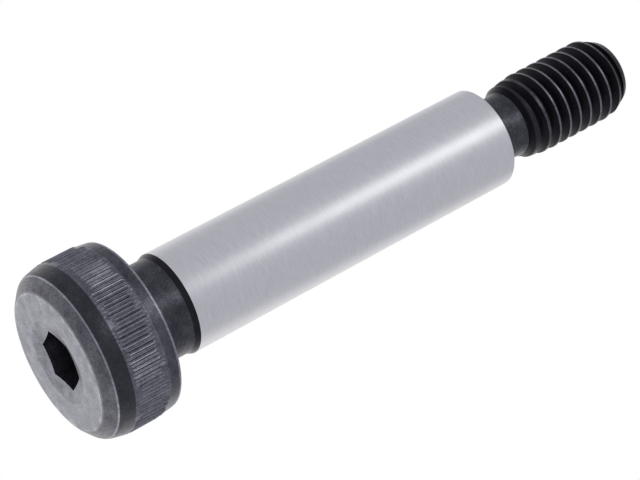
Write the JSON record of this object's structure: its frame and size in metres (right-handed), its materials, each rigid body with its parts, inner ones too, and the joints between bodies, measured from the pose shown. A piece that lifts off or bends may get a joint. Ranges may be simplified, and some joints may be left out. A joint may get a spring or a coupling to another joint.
{
  "type": "shoulder bolt",
  "caption": "Shoulder bolt with a knurled cylindrical head, a hexagon socket, a relieved neck, a ground shoulder and a smaller threaded end.",
  "frame": {"origin": "centre of the head's face, on which the bolt stands", "axes": "+Z along the bolt, from the face of the head to the thread's tip; two flats of the hexagon face +Y and -Y"},
  "size_m": [0.0102, 0.0102, 0.0393],
  "materials": {
    "alloy_steel": "Ground satin on the shoulder, black oxide on the head, the necks and the thread."
  },
  "bodies": {
    "root": {"shoulder_bolt": "alloy_steel"}
  },
  "joints": []
}
